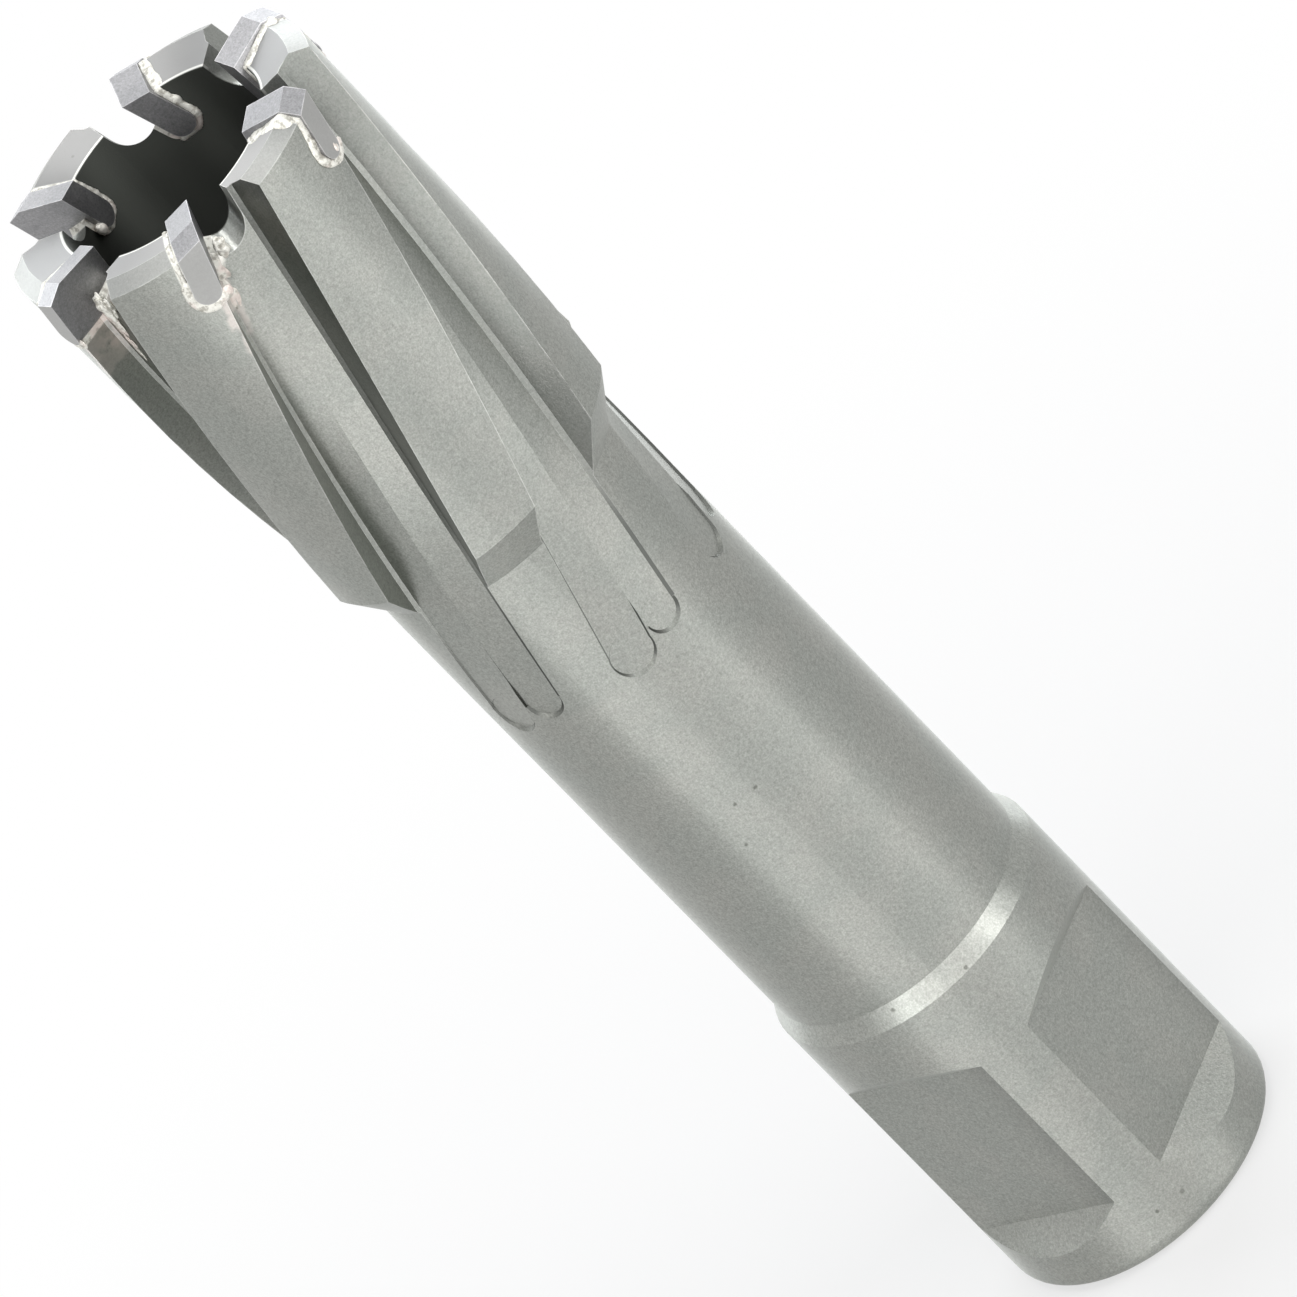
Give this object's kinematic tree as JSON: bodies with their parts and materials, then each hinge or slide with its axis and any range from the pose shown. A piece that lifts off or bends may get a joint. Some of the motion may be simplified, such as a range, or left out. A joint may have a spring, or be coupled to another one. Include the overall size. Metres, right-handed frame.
{
  "type": "annular cutter",
  "caption": "Hollow drill with helical flutes, carbide teeth brazed round its rim and a stepped shank with two clamping flats.",
  "frame": {"origin": "centre of the shank's end face, on the cutter's axis", "axes": "+Z along the axis from the shank to the teeth; +X midway between the two clamping flats, which face 45 degrees to either side of it"},
  "size_m": [0.0222, 0.0218, 0.0947],
  "materials": {
    "ground_steel": "fine ground, matt satin",
    "carbide": "ground carbide, satin",
    "braze": "rough pale filler metal"
  },
  "bodies": {
    "root": {"cutter_body": "ground_steel", "carbide_tip_1": "carbide", "carbide_tip_2": "carbide", "carbide_tip_3": "carbide", "carbide_tip_4": "carbide", "carbide_tip_5": "carbide", "carbide_tip_6": "carbide", "braze_joint_1": "braze", "braze_joint_2": "braze", "braze_joint_3": "braze", "braze_joint_4": "braze", "braze_joint_5": "braze", "braze_joint_6": "braze"}
  },
  "joints": []
}
